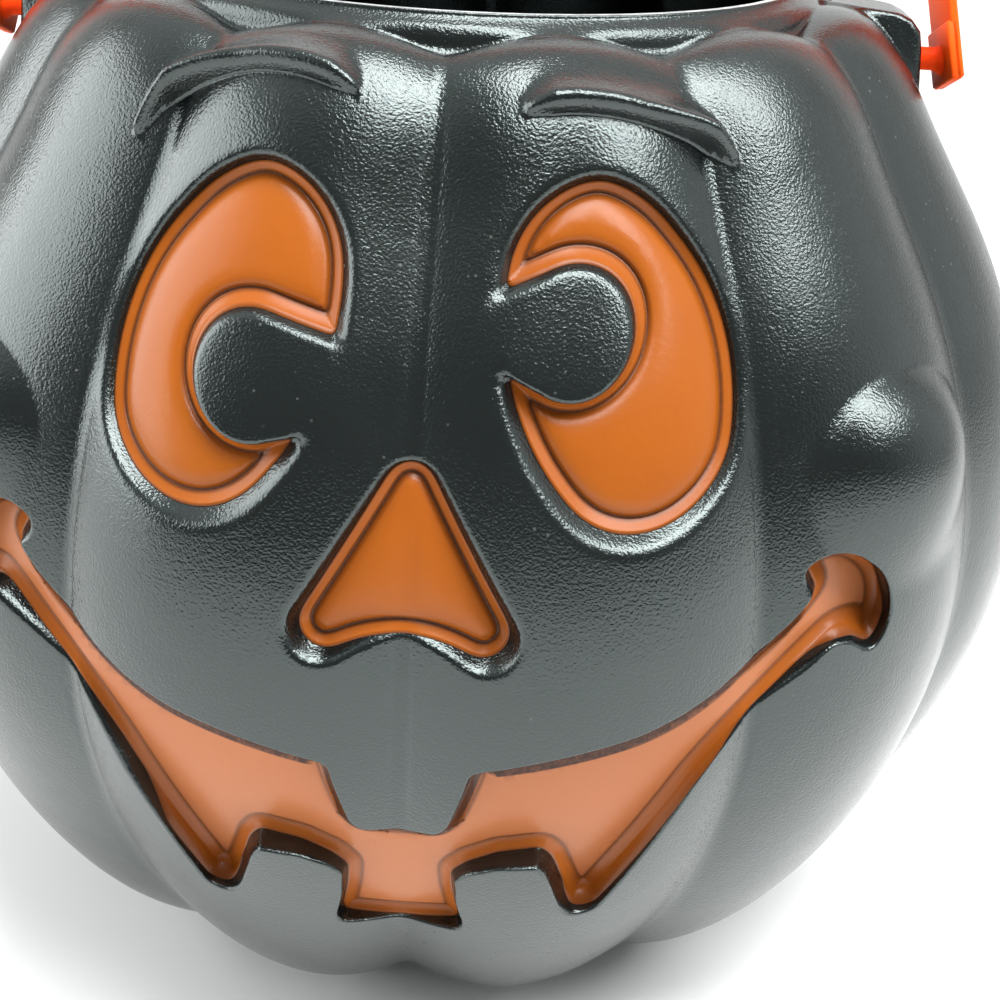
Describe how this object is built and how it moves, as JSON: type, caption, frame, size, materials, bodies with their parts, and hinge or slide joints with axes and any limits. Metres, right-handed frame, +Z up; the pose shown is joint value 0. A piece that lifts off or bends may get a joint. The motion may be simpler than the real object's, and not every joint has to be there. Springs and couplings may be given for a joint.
{
  "type": "pumpkin candy pail",
  "caption": "Round lobed pumpkin pail with a recessed painted grin, an open mouth ring and a flat strap handle that swings on pegs in two ears.",
  "frame": {"origin": "on the floor, under the middle of the body", "axes": "+Z up through the mouth; the face looks along -Y; the handle's pivot runs along X, with +X on the viewer's right"},
  "size_m": [0.212, 0.212, 0.2696],
  "materials": {
    "black_shell": "satin, finely pebbled",
    "orange_paint": "thin satin paint",
    "orange_strap": "smooth, slightly translucent"
  },
  "bodies": {
    "pail": {"pail_shell": "black_shell", "left_eye_paint": "orange_paint", "right_eye_paint": "orange_paint", "nose_paint": "orange_paint", "mouth_paint": "orange_paint"},
    "handle": {"handle": "orange_strap"}
  },
  "joints": [
    {"name": "handle_swing", "type": "hinge", "parent": "pail", "child": "handle", "pos_m": [0, 0, 0.1686], "axis": [1, 0, 0], "range_deg": [-71, 109]}
  ]
}
